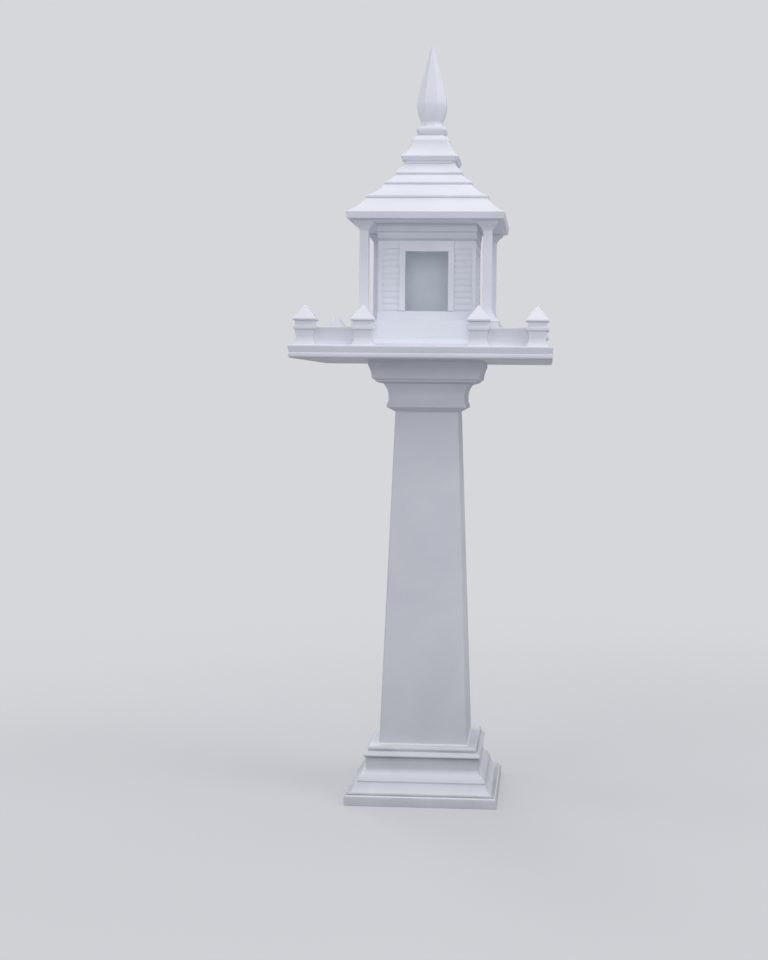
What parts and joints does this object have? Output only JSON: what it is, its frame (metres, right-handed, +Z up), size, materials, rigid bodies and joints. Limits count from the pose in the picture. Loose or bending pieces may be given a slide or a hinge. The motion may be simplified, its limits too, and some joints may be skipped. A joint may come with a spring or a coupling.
{
  "type": "spirit house",
  "caption": "Square cast-stone spirit house: hollow chamber with a doorway, corner columns and stepped spired roof on a parapeted deck, on a tapered moulded pedestal.",
  "frame": {"origin": "middle of the underside of the square plinth, on the ground", "axes": "+Z up along the pedestal and spire, -Y the front with the doorway and the gate, +X to the right as seen from the front"},
  "size_m": [0.9, 0.9, 2.737],
  "materials": {
    "stone": "fine cast white stone, smooth"
  },
  "bodies": {
    "root": {"base_collar": "stone", "base_moulding": "stone", "base_plinth": "stone", "capital_crown": "stone", "capital_neck": "stone", "column_front_left": "stone", "column_front_right": "stone", "column_rear_left": "stone", "column_rear_right": "stone", "deck_moulding": "stone", "deck_slab": "stone", "door_head": "stone", "door_jamb_left": "stone", "door_jamb_right": "stone", "gate_post_left": "stone", "gate_post_right": "stone", "house_frieze": "stone", "house_platform": "stone", "house_socle": "stone", "parapet_front_left": "stone", "parapet_front_right": "stone", "parapet_left": "stone", "parapet_rear": "stone", "parapet_right": "stone", "post_front_left": "stone", "post_front_right": "stone", "post_rear_left": "stone", "post_rear_right": "stone", "roof_bell": "stone", "roof_eave": "stone", "roof_lower": "stone", "roof_middle": "stone", "roof_upper": "stone", "shaft_front": "stone", "shaft_left": "stone", "shaft_rear": "stone", "shaft_right": "stone", "spire_bud": "stone", "spire_ring": "stone", "wall_front_left": "stone", "wall_front_right": "stone", "wall_left": "stone", "wall_rear": "stone", "wall_right": "stone"}
  },
  "joints": []
}
